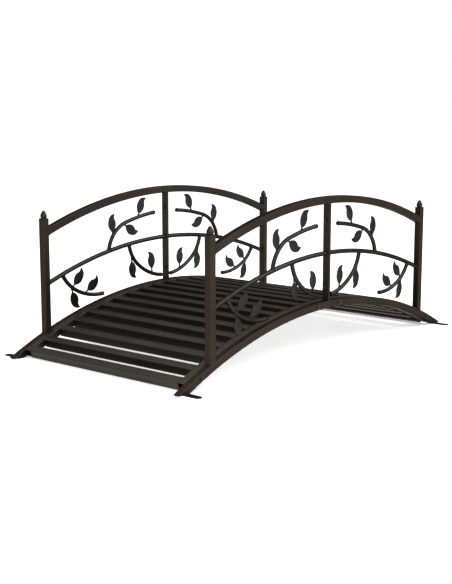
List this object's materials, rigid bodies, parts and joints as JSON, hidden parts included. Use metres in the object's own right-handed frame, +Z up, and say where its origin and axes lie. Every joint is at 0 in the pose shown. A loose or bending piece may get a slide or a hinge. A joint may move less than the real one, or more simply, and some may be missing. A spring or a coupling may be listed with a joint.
{
  "type": "moon bridge",
  "caption": "Arched steel garden bridge with a slatted deck, corner posts with finials, curved rails and leafy vine branches in both railings.",
  "frame": {"origin": "on the floor, under the middle of the bridge", "axes": "+X along the walkway, +Y across it towards the far railing, +Z up"},
  "size_m": [1.5104, 0.895, 0.5435],
  "materials": {
    "frame": "dark bronze powder coat, satin",
    "vine": "dark bronze powder coat, satin",
    "deck": "dark grey bronze powder coat, satin"
  },
  "bodies": {
    "root": {"near_left_post": "frame", "near_left_finial": "frame", "near_left_top_rail": "frame", "near_left_mid_rail": "frame", "near_left_strap": "frame", "near_left_upper_vine": "vine", "near_left_inner_vine": "vine", "near_left_outer_vine": "vine", "near_left_beam": "frame", "near_left_foot": "frame", "near_right_post": "frame", "near_right_finial": "frame", "near_right_top_rail": "frame", "near_right_mid_rail": "frame", "near_right_strap": "frame", "near_right_upper_vine": "vine", "near_right_inner_vine": "vine", "near_right_outer_vine": "vine", "near_right_beam": "frame", "near_right_foot": "frame", "far_left_post": "frame", "far_left_finial": "frame", "far_left_top_rail": "frame", "far_left_mid_rail": "frame", "far_left_strap": "frame", "far_left_upper_vine": "vine", "far_left_inner_vine": "vine", "far_left_outer_vine": "vine", "far_left_beam": "frame", "far_left_foot": "frame", "far_right_post": "frame", "far_right_finial": "frame", "far_right_top_rail": "frame", "far_right_mid_rail": "frame", "far_right_strap": "frame", "far_right_upper_vine": "vine", "far_right_inner_vine": "vine", "far_right_outer_vine": "vine", "far_right_beam": "frame", "far_right_foot": "frame", "near_deck_member": "deck", "far_deck_member": "deck", "left_slats": "deck", "right_slats": "deck"}
  },
  "joints": []
}
